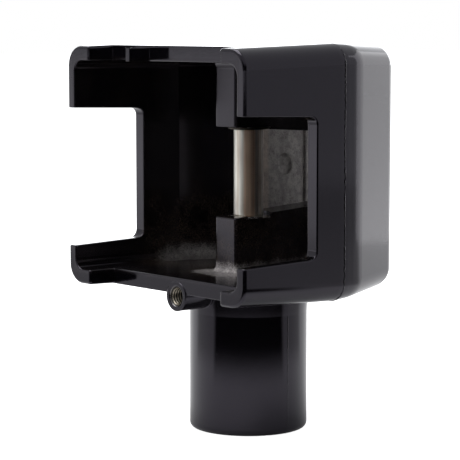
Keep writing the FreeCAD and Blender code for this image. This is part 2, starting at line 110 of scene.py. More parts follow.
# ---------------------------------------------------------------- settings
class BracketSizes(bpy.types.PropertyGroup):
    """Sizes of the small cast and cut details"""

    edge_round: bpy.props.FloatProperty(
        name="Edge round", description="Radius of the casting's long outer edges",
        default=6.3 * MM, unit="LENGTH", subtype="DISTANCE")
    skin: bpy.props.FloatProperty(
        name="Skin", description="Thickness of the casting's top and bottom",
        default=5.85 * MM, unit="LENGTH", subtype="DISTANCE")
    wall: bpy.props.FloatProperty(
        name="Side wall", description="Thickness of the casting's sides",
        default=4.8 * MM, unit="LENGTH", subtype="DISTANCE")
    back_face: bpy.props.FloatProperty(
        name="Back face", description="Distance from the spigot's axis to the inside of the rear wall",
        default=30.1 * MM, unit="LENGTH", subtype="DISTANCE")
    bend_behind: bpy.props.FloatProperty(
        name="Bend", description="How far behind the spigot's axis the inner sides turn inwards",
        default=3.8 * MM, unit="LENGTH", subtype="DISTANCE")
    side_taper: bpy.props.FloatProperty(
        name="Side taper", description="How far the rear sides turn inwards",
        default=math.radians(24), subtype="ANGLE", unit="ROTATION")
    flash_width: bpy.props.FloatProperty(
        name="Flash width", description="Width of the ridge that the die halves left",
        default=0.34 * MM, unit="LENGTH", subtype="DISTANCE")
    flash_height: bpy.props.FloatProperty(
        name="Flash height", description="How far that ridge stands out from the paint",
        default=0.1 * MM, unit="LENGTH", subtype="DISTANCE")
    flash_pitch: bpy.props.FloatProperty(
        name="Flash pitch", description="Length of one bump along the ridge",
        default=0.8 * MM, unit="LENGTH", subtype="DISTANCE")
    thread_pitch: bpy.props.FloatProperty(
        name="Thread pitch", description="Pitch of the clamp screw's thread",
        default=1.0 * MM, unit="LENGTH", subtype="DISTANCE")
    thread_depth: bpy.props.FloatProperty(
        name="Thread depth", description="Height of the thread's ridge",
        default=0.54 * MM, unit="LENGTH", subtype="DISTANCE")
    thread_start: bpy.props.FloatProperty(
        name="Thread start", description="Distance from the spigot's axis to the first turn",
        default=29.75 * MM, unit="LENGTH", subtype="DISTANCE")
    thread_length: bpy.props.FloatProperty(
        name="Thread length", description="Length of thread in the boss",
        default=8.6 * MM, unit="LENGTH", subtype="DISTANCE")
    mark_radius: bpy.props.FloatProperty(
        name="Mark radius", description="Radius of the ejector pin's mark on the rear wall",
        default=3.8 * MM, unit="LENGTH", subtype="DISTANCE")
    mark_height: bpy.props.FloatProperty(
        name="Mark height", description="How far the mark stands out from the wall",
        default=0.22 * MM, unit="LENGTH", subtype="DISTANCE")
    mark_place: bpy.props.FloatVectorProperty(
        name="Mark place", description="Centre of the mark across and up the rear wall",
        default=(-15.5 * MM, 38.0 * MM), size=2, unit="LENGTH", subtype="NONE")


class BracketFinishes(bpy.types.PropertyGroup):
    """Colours and polish of the finishes"""

    paint: bpy.props.FloatVectorProperty(
        name="Paint", description="Colour of the gloss black paint",
        default=(0.0014, 0.0012, 0.0018), size=3, subtype="COLOR", min=0, max=1)
    paint_roughness: bpy.props.FloatProperty(
        name="Paint roughness", description="Roughness of the paint where it is thick",
        default=0.085, min=0, max=1, subtype="FACTOR")
    casting: bpy.props.FloatVectorProperty(
        name="Casting", description="Colour of the bare cast metal inside the hollow",
        default=(0.52, 0.49, 0.475), size=3, subtype="COLOR", min=0, max=1)
    sleeve: bpy.props.FloatVectorProperty(
        name="Sleeve", description="Colour of the ground pivot sleeve",
        default=(0.97, 0.91, 0.84), size=3, subtype="COLOR", min=0, max=1)
    washer: bpy.props.FloatVectorProperty(
        name="Washers", description="Colour of the thrust washers",
        default=(0.74, 0.72, 0.69), size=3, subtype="COLOR", min=0, max=1)
    zinc: bpy.props.FloatVectorProperty(
        name="Zinc plate", description="Colour of the bolt and its washers",
        default=(0.62, 0.64, 0.66), size=3, subtype="COLOR", min=0, max=1)


class BracketStage(bpy.types.PropertyGroup):
    """Camera, floor and lights"""

    azimuth: bpy.props.FloatProperty(
        name="Azimuth", description="Turn of the camera round the bracket, from straight in front",
        default=math.radians(49.25), subtype="ANGLE", unit="ROTATION")
    pitch: bpy.props.FloatProperty(
        name="Pitch", description="How far the camera looks down",
        default=math.radians(6.03), subtype="ANGLE", unit="ROTATION")
    distance: bpy.props.FloatProperty(
        name="Distance", description="Camera to the point that it looks at",
        default=0.6344, unit="LENGTH", subtype="DISTANCE")
    aim: bpy.props.FloatVectorProperty(
        name="Aim", description="Point that the camera looks at",
        default=(0.0, -0.00785, 0.01945), size=3, subtype="XYZ", unit="LENGTH")
    lens: bpy.props.FloatProperty(
        name="Lens", description="Focal length in millimetres on a 36 mm sensor", default=155.03)
    floor: bpy.props.FloatVectorProperty(
        name="Floor", description="Colour of the floor",
        default=(0.86, 0.86, 0.86), size=3, subtype="COLOR", min=0, max=1)
    floor_glow: bpy.props.FloatProperty(
        name="Floor glow", description="Light that the lens alone sees in the floor, to level its tone",
        default=0.9, min=0)
    sky: bpy.props.FloatProperty(
        name="Room light", description="Strength of the soft light from all round", default=0.66, min=0)
    backdrop: bpy.props.FloatProperty(
        name="Backdrop", description="Extra light from the wall straight behind", default=2.5, min=0)
    top_light: bpy.props.FloatProperty(
        name="Top light", description="Power of the softbox overhead", default=10.0, min=0,
        unit="POWER")
    back_light: bpy.props.FloatProperty(
        name="Rear light", description="Power of the softbox behind", default=0.56, min=0, unit="POWER")


class BracketSettings(bpy.types.PropertyGroup):
    """Everything that can be changed about the bracket's looks"""

    sizes: bpy.props.PointerProperty(type=BracketSizes)
    finishes: bpy.props.PointerProperty(type=BracketFinishes)
    stage: bpy.props.PointerProperty(type=BracketStage)


# ---------------------------------------------------------------- shader maths
class Wire:
    """An output socket that can stand in a Python sum."""

    def __init__(self, shader, socket):
        self.shader = shader
        self.socket = socket

    def math(self, operation, first, second=0.0):
        """A Math node on two values."""
        return self.shader.node("ShaderNodeMath", {"operation": operation}, {0: first, 1: second})

    def __add__(self, other):
        return self.math("ADD", self, other)

    def __sub__(self, other):
        return self.math("SUBTRACT", self, other)

    def __mul__(self, other):
        return self.math("MULTIPLY", self, other)

    def __truediv__(self, other):
        return self.math("DIVIDE", self, other)

    def __pow__(self, other):
        return self.math("POWER", self, other)

    def __rsub__(self, other):
        return self.math("SUBTRACT", other, self)

    def __abs__(self):
        return self.math("ABSOLUTE", self)

    __radd__ = __add__
    __rmul__ = __mul__

    def at_least(self, floor):
        """This value, or floor where it is lower."""
        return self.math("MAXIMUM", self, floor)

    def wave(self):
        """The sine of this value."""
        return self.math("SINE", self)

    def rise(self, start, end):
        """0 below start, 1 above end, smooth between; start may be above end."""
        low, high, flip = (start, end, False) if start < end else (end, start, True)
        return self.shader.node(
            "ShaderNodeMapRange", {"interpolation_type": "SMOOTHSTEP"},
            {"Value": self, "From Min": low, "From Max": high, "To Min": float(flip),
             "To Max": float(not flip)})


class Shader:
    """A material's or world's node tree, filled by expressions."""

    def __init__(self, owner):
        owner.use_nodes = True
        self.tree = owner.node_tree
        self.tree.nodes.clear()

    def node(self, kind, settings=None, sockets=None, output=0):
        """One node: its settings first, then the values or wires of its sockets."""
        made = self.tree.nodes.new(kind)
        for name, setting in (settings or {}).items():
            if name == "stops":
                self.set_stops(made.color_ramp, setting)
            else:
                setattr(made, name, setting)
        for place, given in (sockets or {}).items():
            if isinstance(given, Wire):
                self.tree.links.new(given.socket, made.inputs[place])
            else:
                made.inputs[place].default_value = given
        return Wire(self, made.outputs[output]) if len(made.outputs) else None

    @staticmethod
    def set_stops(ramp, stops):
        """Give a colour ramp its (position, colour) stops."""
        while len(ramp.elements) > 1:
            ramp.elements.remove(ramp.elements[-1])
        ramp.elements[0].position, ramp.elements[0].color = stops[0]
        for place, colour in stops[1:]:
            ramp.elements.new(place).color = colour

    def place(self):
        """Object coordinates in millimetres, and their three parts."""
        metres = self.node("ShaderNodeTexCoord", output="Object")
        point = self.node("ShaderNodeVectorMath", {"operation": "SCALE"},
                          {0: metres, "Scale": 1 / MM})
        parts = [self.node("ShaderNodeSeparateXYZ", None, {0: point}, output=axis)
                 for axis in ("X", "Y", "Z")]
        return point, parts

    def noise(self, point, size, detail=2.0, roughness=0.5, stretch=(1, 1, 1)):
        """Smooth noise whose blotches are about size millimetres across, from 0 to 1."""
        moved = self.node("ShaderNodeVectorMath", {"operation": "MULTIPLY"}, {0: point, 1: stretch})
        return self.node("ShaderNodeTexNoise", None,
                         {"Vector": moved, "Scale": 1 / size, "Detail": detail,
                          "Roughness": roughness})

    def mix(self, factor, first, second):
        """Blend of two colours."""
        return self.node("ShaderNodeMix", {"data_type": "RGBA"}, {0: factor, 6: first, 7: second},
                         output=2)

    def mix_normals(self, factor, first, second):
        """Blend of two surface normals."""
        return self.node("ShaderNodeMix", {"data_type": "VECTOR"}, {0: factor, 4: first, 5: second},
                         output=1)

    def bump(self, height, depth, strength=1.0, under=None):
        """A surface normal pushed about by a height from 0 to 1, depth metres deep."""
        sockets = {"Height": height, "Distance": depth, "Strength": strength}
        if under is not None:
            sockets["Normal"] = under
        return self.node("ShaderNodeBump", None, sockets)

    def finish(self, shade):
        """Send a shader to the material's output."""
        self.node("ShaderNodeOutputMaterial", None, {"Surface": shade})


def new_material(name):
    """An empty material and its shader."""
    material = bpy.data.materials.new(name)
    return material, Shader(material)


def rgba(colour, gain=1.0):
    """A colour property as four numbers, made lighter or darker by gain."""
    return (*(min(1.0, part * gain) for part in colour), 1.0)


def dress(thing, material):
    """Give an object one material."""
    thing.data.materials.clear()
    thing.data.materials.append(material)


# ---------------------------------------------------------------- finishes
def orange_peel(shader, point):
    """Normal of sprayed gloss paint: long soft waves, fine peel and a few dust nibs."""
    waves = shader.noise(point, 5.5, detail=1.0)
    peel = shader.noise(point, 0.7, detail=2.0)
    dust = shader.node("ShaderNodeTexVoronoi", {"feature": "F1"},
                       {"Vector": point, "Scale": 0.42, "Randomness": 1.0}, output="Distance")
    nib = dust.rise(0.085, 0.03)
    edge = shader.node("ShaderNodeBevel", {"samples": 8}, {"Radius": 0.45 * MM})
    soft = shader.bump(waves, 0.008 * MM, 1.0, under=edge)
    fine = shader.bump(peel, 0.0015 * MM, 1.0, under=soft)
    return shader.bump(nib, 0.02 * MM, 0.6, under=fine), nib


def metal_shade(shader, colour, roughness, normal, metallic=1.0):
    """A bare metal's shader."""
    return shader.node("ShaderNodeBsdfPrincipled", None,
                       {"Base Color": colour, "Metallic": metallic, "Roughness": roughness,
                        "Normal": normal})


def paint_shade(shader, colour, roughness, metallic, normal):
    """The paint's shader, with bare metal showing where metallic is above 0."""
    return shader.node(
        "ShaderNodeBsdfPrincipled", None,
        {"Base Color": colour, "Roughness": roughness, "Metallic": metallic, "Normal": normal,
         "IOR": 1.48, "Specular Tint": (0.90, 0.83, 1.0, 1.0)})


def hollow_space(sizes, half, y, z):
    """How far past the inner side walls a point lies, and 1 in the hollow and on its faces."""
    floor, ceiling = sizes.skin / MM, (BODY_TOP - sizes.skin) / MM
    back = sizes.back_face / MM
    # the side walls turn inwards behind the bend
    behind = (y - sizes.bend_behind / MM).at_least(0.0)
    wall = half + behind * math.tan(sizes.side_taper) - (BODY_HALF - sizes.wall) / MM
    near, far = 0.8, 1.4
    hollow = (wall.rise(far, near) * y.rise(back + far, back + near)
              * z.rise(floor - far, floor - near) * z.rise(ceiling + far, ceiling + near))
    return wall, hollow


def cut_faces(across, x, y, z):
    """1 on the two machined seats, and 1 in the screw hole and round its mouth."""
    seat_low, seat_high = SEAT_LOW / MM, SEAT_HIGH / MM
    on_seat = abs(z - seat_low).rise(0.16, 0.08) + abs(z - seat_high).rise(0.16, 0.08)
    seat = on_seat * across.rise(7.12, 7.04)
    thread = THREAD_RADIUS / MM
    from_hole = (x ** 2 + z ** 2) ** 0.5
    hole = (from_hole.rise(thread + 0.32, thread + 0.1) * y.rise(-16.0, -17.0)
            * y.rise(-32.0, -31.0))
    return seat, hole


def casting_paint(finishes, sizes):
    """Gloss black outside, thin and mottled deep inside the hollow, bare where a cutter passed."""
    material, shader = new_material("casting_black_paint")
    point, (x, y, z) = shader.place()
    normal, nib = orange_peel(shader, point)
    half = abs(x)
    floor = sizes.skin / MM
    wall, hollow = hollow_space(sizes, half, y, z)

    # the spray thins out towards the rear wall, the foot of the sides and the foot of the web
    blotch = shader.noise(point, 7.0, detail=4.0, roughness=0.62)
    mottle = shader.noise(point, 2.2, detail=3.0, roughness=0.6)
    speck = shader.noise(point, 0.4, detail=2.0, roughness=0.6)
    grain = shader.noise(point, 0.2, detail=1.0)
    depth = y.rise(16.0, 30.5)
    side_foot = wall.rise(-11.0, -1.0) * z.rise(floor + 9.0, floor + 0.5) * y.rise(-20.0, 10.0)
    web_foot = half.rise(18.0, 5.6) * z.rise(floor + 6.5, floor + 0.2) * y.rise(-24.0, -12.0)
    thin = (depth * 0.84 + side_foot * 0.95 + web_foot * 0.80 + (blotch - 0.5) * 0.55
            + (mottle - 0.5) * 0.2 + (speck - 0.5) * (0.2 + web_foot * 0.5)
            + (grain - 0.5) * 0.4)
    bare = thin.rise(0.30, 0.95) * hollow
    dry = thin.rise(-0.12, 0.42) * hollow
    dust = (z.rise(floor + 34.0, floor + 1.0) * y.rise(-18.0, -4.0) * speck.rise(0.36, 0.64)
            * blotch.rise(0.3, 0.62) * (0.3 + mottle * 0.7) * hollow)

    # cutters left bright metal, and the spigot's core is only partly covered by the spray
    across = (x ** 2 + y ** 2) ** 0.5
    seat, hole = cut_faces(across, x, y, z)
    cut = (seat + hole).rise(0.3, 0.7)
    in_core = across.rise(14.3, 14.22) * z.rise(-5.5, -6.5)
    thin_core = in_core * blotch.rise(0.45, 0.6) * 0.8
    metal = 1 - (1 - bare) * (1 - cut) * (1 - thin_core)

    cast_colour = shader.mix(mottle.rise(0.36, 0.64), rgba(finishes.casting, 0.7),
                             rgba(finishes.casting, 1.0))
    cast_colour = shader.mix(speck.rise(0.5, 0.4) * (0.7 - depth * 0.4), cast_colour,
                             rgba(finishes.casting, 0.2))
    # a pale run down the rear wall
    stain = abs(x + 26.0).rise(3.2, 0.8) * depth * (0.45 + mottle * 0.5)
    cast_colour = shader.mix(stain, cast_colour, WALL_STAIN)
    # painted shade: the bore of the screw hole is darkened all over, with a little mottle
    hole_mottle = shader.noise(point, 1.3, detail=3.0)
    cut_colour = shader.mix(grain, rgba(finishes.washer, 0.75), rgba(finishes.washer, 1.05))
    cut_colour = shader.mix(hole * (0.8 + hole_mottle * 0.2), cut_colour, HOLE_SHADE)
    paint = shader.mix(blotch, rgba(finishes.paint, 0.8), rgba(finishes.paint, 1.25))
    paint = shader.mix(nib * 0.5, paint, DUST_NIB)
    paint = shader.mix(dry * (0.3 + mottle * 0.7), paint, DRY_SPRAY)
    paint = shader.mix(dust, paint, PALE_DUST)
    colour = shader.mix(bare, paint, cast_colour)
    colour = shader.mix(thin_core, colour, cast_colour)
    colour = shader.mix(cut, colour, cut_colour)

    haze = shader.noise(point, 11.0, detail=3.0)
    gloss = finishes.paint_roughness + (haze - 0.5) * 0.05 + (grain - 0.5) * 0.02
    dull = 0.46 + (speck - 0.5) * 0.25
    roughness = gloss + hollow * 0.10 + metal * (dull - gloss) + cut * (0.26 - dull)
    rough_cast = shader.bump(speck, 0.06 * MM, 1.0, under=normal)
    relief = shader.mix_normals(metal, normal, rough_cast)
    shine = 1 - (1 - bare * 0.55) * (1 - cut) * (1 - thin_core * 0.55)
    shader.finish(paint_shade(shader, colour, roughness, shine, relief))
    return material


def flash_paint(finishes):
    """The same paint on the parting flash, worn thin on its crests."""
    material, shader = new_material("flash_black_paint")
    point, _ = shader.place()
    normal, nib = orange_peel(shader, point)
    wear = shader.noise(point, 0.9, detail=3.0, roughness=0.7)
    worn = wear.rise(0.60, 0.72)
    colour = shader.mix(worn, rgba(finishes.paint, 1.2), WORN_PAINT)
    colour = shader.mix(nib, colour, FLASH_NIB)
    roughness = finishes.paint_roughness + 0.1 + worn * 0.2
    relief = shader.bump(wear, 0.04 * MM, 0.8, under=normal)
    shader.finish(paint_shade(shader, colour, roughness, 0.0, relief))
    return material


def ground_steel(finishes):
    """Ground steel with warm upright bands and hairs, faint rings, a painted brown reflection down the
    side that faces the camera, and a few pits.
    """
    material, shader = new_material("ground_steel")
    point, (x, y, _) = shader.place()
    rings = shader.noise(point, 0.6, detail=2.0, roughness=0.6, stretch=(0.12, 0.12, 3.0))
    bands = shader.noise(point, 1.5, detail=3.0, roughness=0.6, stretch=(1.0, 1.0, 0.02))
    hairs = shader.noise(point, 0.35, detail=2.0, roughness=0.6, stretch=(1.0, 1.0, 0.03))
    stain = shader.noise(point, 4.0, detail=3.0, roughness=0.55, stretch=(1, 1, 0.3))
    pits = shader.node("ShaderNodeTexVoronoi", {"feature": "F1"},
                       {"Vector": point, "Scale": 0.5}, output="Distance").rise(0.07, 0.03)
    colour = shader.mix(stain.rise(0.4, 0.7) * 0.8, rgba(finishes.sleeve, 1.08),
                        rgba(finishes.sleeve, 0.78))
    # painted reflection: a brown band down the side of the sleeve that faces the camera
    camera_side_reflection = ((x * 0.79 - y * 0.613) / (SLEEVE_RADIUS / MM) + (bands - 0.5) * 0.08).rise(0.88, 0.97)
    colour = shader.mix(camera_side_reflection * 0.75, colour, CAMERA_SIDE_REFLECTION)
    colour = shader.mix(bands.rise(0.5, 0.68) * 0.45, colour, BROWN_BAND)
    colour = shader.mix(hairs.rise(0.55, 0.75) * 0.25, colour, BROWN_HAIR)
    colour = shader.mix(pits * 0.6, colour, RUST_PIT)
    roughness = 0.46 + (rings - 0.5) * 0.06 + (stain - 0.5) * 0.12 + pits * 0.25
    lines = shader.bump(rings, 0.0025 * MM, 0.8)
    relief = shader.bump(hairs, 0.014 * MM, 0.8, under=lines)
    shader.finish(metal_shade(shader, colour, roughness, relief))
    return material


def rolled_steel(finishes, name, grease_and_shade):
    """A washer's steel: ring marks from turning, darkened from none (0) to all over (1): a little as
    greasy smears, all over as painted shade.
    """
    material, shader = new_material(name)
    point, (x, y, _) = shader.place()
    across = (x ** 2 + y ** 2) ** 0.5
    ripple = (across * 9.0).wave()
    smear = shader.noise(point, 2.2, detail=3.0)
    fine = shader.noise(point, 0.25, detail=2.0)
    # greasy smears where the washer is darkened a little, painted shade where it is darkened all over
    covered = smear.rise(0.62 - 0.5 * grease_and_shade, 0.8 - 0.5 * grease_and_shade) * (0.7 + 0.27 * grease_and_shade)
    colour = shader.mix(covered, rgba(finishes.washer), GREASE_AND_SHADE)
    roughness = 0.22 + covered * 0.15 + ripple * 0.04 + (smear - 0.5) * 0.2 + (fine - 0.5) * 0.1
    relief = shader.bump(ripple * 0.5 + fine, 0.008 * MM, 0.8)
    shader.finish(metal_shade(shader, colour, roughness, relief))
    return material


def zinc_plate(finishes):
    """Zinc plate: bluish, finely crystalline, dulled in patches."""
    material, shader = new_material("zinc_plate")
    point, _ = shader.place()
    spangle = shader.node("ShaderNodeTexVoronoi", {"feature": "F1"},
                          {"Vector": point, "Scale": 1.7}, output="Color")
    value = shader.node("ShaderNodeSeparateColor", None, {0: spangle})
    dull = shader.noise(point, 2.8, detail=4.0, roughness=0.6)
    colour = shader.mix(value * 0.4, rgba(finishes.zinc), rgba(finishes.zinc, 0.72))
    colour = shader.mix(dull.rise(0.5, 0.75) * 0.6, colour, DULL_ZINC)
    roughness = 0.3 + (dull - 0.5) * 0.3 + value * 0.06
    relief = shader.bump(shader.noise(point, 0.3), 0.01 * MM, 0.6)
    shader.finish(metal_shade(shader, colour, roughness, relief))
    return material


def thread_metal():
    """Tapped metal: bright crests, with painted shade in the roots."""
    material, shader = new_material("tapped_thread_metal")
    point, (x, _, z) = shader.place()
    thread_noise = shader.noise(point, 0.5, detail=3.0, roughness=0.7)
    thread = THREAD_RADIUS / MM
    crest = (x ** 2 + z ** 2) ** 0.5 + (thread_noise - 0.5) * 0.2
    bright = crest.rise(thread - 0.2, thread - 0.5)
    # painted shade in the thread's roots, the crests left bright
    colour = shader.mix(bright, THREAD_ROOT_SHADE, THREAD_CREST)
    roughness = 0.45 - bright * 0.15 + (thread_noise - 0.5) * 0.2
    relief = shader.bump(thread_noise, 0.02 * MM, 0.7)
    shader.finish(metal_shade(shader, colour, roughness, relief, 0.3 + bright * 0.7))
    return material


def bare_casting(finishes):
    """Cast skin of the ejector mark: grey metal under patchy overspray."""
    material, shader = new_material("bare_casting_skin")
    point, _ = shader.place()
    blotch = shader.noise(point, 2.6, detail=4.0, roughness=0.62)
    speck = shader.noise(point, 0.55, detail=3.0, roughness=0.7)
    colour = shader.mix(blotch.rise(0.35, 0.65), rgba(finishes.casting, 0.5),
                        rgba(finishes.casting, 1.0))
    sprayed = speck.rise(0.5, 0.7)
    colour = shader.mix(sprayed * 0.45, colour, rgba(finishes.casting, 0.35))
    roughness = 0.42 + (speck - 0.5) * 0.3
    relief = shader.bump(speck, 0.07 * MM, 1.0)
    shader.finish(metal_shade(shader, colour, roughness, relief, 0.9))
    return material


# ---------------------------------------------------------------- modelling by hand
def deselect_all():
    """Leave nothing selected, so that operators act on the new piece alone."""
    if bpy.context.object and bpy.context.object.mode != "OBJECT":
        bpy.ops.object.mode_set(mode="OBJECT")
    bpy.ops.object.select_all(action="DESELECT")


def pick(piece, edges=None, faces=None, vertices=None):
    """In edit mode, select only the edges, faces or vertices that pass a test of their place."""
    kind = "VERT" if vertices else "EDGE" if edges else "FACE"
    bpy.ops.mesh.select_mode(type=kind)
    bpy.ops.mesh.select_all(action="DESELECT")
    bpy.ops.object.mode_set(mode="OBJECT")
    mesh = piece.data
    if vertices:
        for vertex in mesh.vertices:
            vertex.select = vertices(vertex.co)
    elif edges:
        for edge in mesh.edges:
            start, end = (mesh.vertices[index].co for index in edge.vertices)
            edge.select = edges(start, end)
    else:
        for face in mesh.polygons:
            face.select = faces(face.center, face.normal)
    bpy.ops.object.mode_set(mode="EDIT")


def start_piece(name):
    """Name the primitive just added, settle its size and place into its mesh, and open it for editing."""
    piece = bpy.context.object
    piece.name = piece.data.name = name
    bpy.ops.object.transform_apply(location=True, rotation=True, scale=True)
    bpy.ops.object.mode_set(mode="EDIT")
    return piece


def end_piece(piece, material):
    """Close the mesh, turn its faces outwards, smooth it and let it ride on the housing."""
    bpy.ops.mesh.select_all(action="SELECT")
    bpy.ops.mesh.remove_doubles(threshold=0.001 * MM)
    bpy.ops.mesh.normals_make_consistent(inside=False)
    bpy.ops.object.mode_set(mode="OBJECT")
    bpy.ops.object.shade_smooth_by_angle(angle=math.radians(35))
    dress(piece, material)
    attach(piece, ROOT)
    piece.select_set(False)


def roughen(piece, test, amount, seed):
    """Push the chosen vertices in and out at random, as where flash was broken off."""
    pick(piece, vertices=test)
    bpy.ops.transform.vertex_random(offset=amount, uniform=0.0, normal=1.0, seed=seed)


def model_parting_ring(sizes):
    """The ridge round the box: a thin plate with rounded corners, hollowed out.

    It stands out at the sides and below, and stays inside the casting along the top.
    """
    reach = sizes.flash_height
    wide, top = BODY_HALF + reach, BODY_TOP - reach
    frame_width = 2.0 * MM
    deselect_all()
    bpy.ops.mesh.primitive_cube_add(size=1, location=(0, 0, (top - reach) / 2),
                                    scale=(2 * wide, sizes.flash_width, top + reach))
    ring = start_piece("parting_flash_ring")
    pick(ring, edges=lambda start, end: abs(start.x - end.x) < MM and abs(start.z - end.z) < MM)
    bpy.ops.mesh.bevel(offset=sizes.edge_round + reach, segments=10, affect="EDGES")
    pick(ring, faces=lambda centre, normal: abs(normal.y) > 0.9)
    bpy.ops.mesh.inset(thickness=frame_width, use_individual=True)
    bpy.ops.mesh.bridge_edge_loops()
    cuts = round(BODY_TOP / sizes.flash_pitch)
    pick(ring, edges=lambda start, end: abs(start.y - end.y) < 0.01 * MM
         and (start - end).length > 20 * MM)
    bpy.ops.mesh.subdivide(number_cuts=cuts)
    return ring


def model_spigot_flash(sizes, side):
    """The same ridge down one side of the spigot."""
    foot = 2.2 * MM  # the ridge stops this far above the spigot's end
    sunk = 0.6 * MM
    proud = 0.5 * sizes.flash_height
    length = SPIGOT_STRAIGHT - SPIGOT_END - foot
    middle = (SPIGOT_STRAIGHT + SPIGOT_END + foot) / 2
    centre = SPIGOT_RADIUS + (proud - sunk) / 2
    deselect_all()
    bpy.ops.mesh.primitive_cube_add(size=1, location=(side * centre, 0, middle),
                                    scale=(sunk + proud, sizes.flash_width, length))
    strip = start_piece("spigot_flash_" + ("right" if side > 0 else "left"))
    pick(strip, edges=lambda start, end: abs(start.z - end.z) > 10 * MM)
    bpy.ops.mesh.subdivide(number_cuts=round(length / sizes.flash_pitch))
    roughen(strip, lambda place: abs(place.x) > centre, proud, seed=5 + side)
    return strip


def floor_heading(toward):
    """Unit vector along the floor, from the bracket towards the camera."""
    return Vector((toward.x, toward.y, 0)).normalized()


class BRACKET_OT_paint_casting(bpy.types.Operator):
    """Paint the casting, with thin paint and bare metal inside it"""

    bl_idname = "bracket.paint_casting"
    bl_label = "Paint the Casting"

    def execute(self, context):
        settings = context.scene.bracket
        dress(frame["nodes"]["bracket_housing"], casting_paint(settings.finishes, settings.sizes))
        return {"FINISHED"}


class BRACKET_OT_finish_pivot(bpy.types.Operator):
    """Finish the pivot sleeve and its two thrust washers"""

    bl_idname = "bracket.finish_pivot"
    bl_label = "Finish the Pivot"

    def execute(self, context):
        finishes = context.scene.bracket.finishes
        dress(frame["nodes"]["pivot_sleeve"], ground_steel(finishes))
        for name, grease_and_shade in THRUST_WASHERS.items():
            dress(frame["nodes"][name], rolled_steel(finishes, name + "_steel", grease_and_shade))
        return {"FINISHED"}


class BRACKET_OT_finish_bolt(bpy.types.Operator):
    """Finish the pivot bolt and the washers under its head"""

    bl_idname = "bracket.finish_bolt"
    bl_label = "Finish the Bolt"

    def execute(self, context):
        zinc = zinc_plate(context.scene.bracket.finishes)
        for name in BOLT_PIECES:
            dress(frame["nodes"][name], zinc)
        return {"FINISHED"}


class BRACKET_OT_add_flash(bpy.types.Operator):
    """Add the rough ridge that the two die halves left round the box and down the spigot"""

    bl_idname = "bracket.add_flash"
    bl_label = "Add the Parting Flash"

    def execute(self, context):
        settings = context.scene.bracket
        sizes = settings.sizes
        paint = flash_paint(settings.finishes)
        ring = model_parting_ring(sizes)
        inset = 1.0 * MM
        corner = sizes.edge_round * 0.3

        def outside(place):
            beside = abs(place.x) > BODY_HALF - inset
            below = place.z < inset
            rounded = (abs(place.x) > BODY_HALF - sizes.edge_round + corner
                       and abs(place.z - BODY_TOP / 2) > BODY_TOP / 2 - sizes.edge_round + corner)
            return beside or below or rounded

        roughen(ring, outside, sizes.flash_height * 1.4, seed=2)
        end_piece(ring, paint)
        for side in (-1, 1):
            end_piece(model_spigot_flash(sizes, side), paint)
        return {"FINISHED"}


class BRACKET_OT_cut_thread(bpy.types.Operator):
    """Add the screw thread inside the boss, as one ridge wound into the hole"""

    bl_idname = "bracket.cut_thread"
    bl_label = "Cut the Clamp Screw's Thread"

    def execute(self, context):
        settings = context.scene.bracket
        sizes = settings.sizes
        pitch, depth = sizes.thread_pitch, sizes.thread_depth
        sunk = 0.04 * MM
        deselect_all()
        # the ridge's section: a flat triangle with its root in the wall and its crest towards the axis
        bpy.ops.mesh.primitive_circle_add(vertices=4, radius=pitch / 2, fill_type="NGON",
                                          location=(THREAD_RADIUS, -sizes.thread_start, 0))
        thread = start_piece("clamp_screw_thread")
        clear = 0.1 * MM
        pick(thread, vertices=lambda place: place.x > THREAD_RADIUS + clear)
        bpy.ops.transform.translate(value=(sunk - pitch / 2, 0, 0))
        pick(thread, vertices=lambda place: place.x < THREAD_RADIUS - clear)
        bpy.ops.transform.translate(value=(pitch / 2 - depth, 0, 0))
        bpy.ops.mesh.bevel(offset=0.09 * MM, segments=2, affect="VERTICES")
        bpy.ops.object.mode_set(mode="OBJECT")
        wound = thread.modifiers.new("wound", "SCREW")
        wound.axis = "Y"
        wound.angle = math.tau
        wound.screw_offset = pitch
        wound.iterations = max(1, round(sizes.thread_length / pitch))
        wound.steps = wound.render_steps = 36
        wound.use_merge_vertices = False
        bpy.ops.object.modifier_apply(modifier=wound.name)
        bpy.ops.object.mode_set(mode="EDIT")
        end_piece(thread, thread_metal())
        return {"FINISHED"}


class BRACKET_OT_add_ejector_mark(bpy.types.Operator):
    """Add the round mark that an ejector pin left on the inside of the rear wall"""

    bl_idname = "bracket.add_ejector_mark"
    bl_label = "Add the Ejector Mark"

    def execute(self, context):
        settings = context.scene.bracket
        sizes = settings.sizes
        place_x, place_z = sizes.mark_place
        sunk = 0.4 * MM
        deselect_all()
        bpy.ops.mesh.primitive_cylinder_add(
            vertices=64, radius=sizes.mark_radius, depth=sizes.mark_height + sunk,
            location=(place_x, sizes.back_face + (sunk - sizes.mark_height) / 2, place_z),
            rotation=(math.pi / 2, 0, 0))
        mark = start_piece("ejector_pin_mark")
        # a raised burr round a face that stands a little lower, with a dimple in its middle
        pick(mark, faces=lambda centre, normal: normal.y < -0.9)
        bpy.ops.mesh.inset(thickness=0.35 * MM)
        bpy.ops.mesh.inset(thickness=0.25 * MM)
        bpy.ops.transform.translate(value=(0, 0.14 * MM, 0))
        bpy.ops.mesh.inset(thickness=sizes.mark_radius * 0.55)
        bpy.ops.transform.translate(value=(0, 0.06 * MM, 0))
        rim = sizes.back_face - sizes.mark_height
        pick(mark, edges=lambda start, end: abs(start.y - rim) < 0.01 * MM
             and abs(end.y - rim) < 0.01 * MM
             and (start - end).length < 0.5 * MM)
        bpy.ops.mesh.bevel(offset=0.06 * MM, segments=2, affect="EDGES")
        end_piece(mark, bare_casting(settings.finishes))
        return {"FINISHED"}


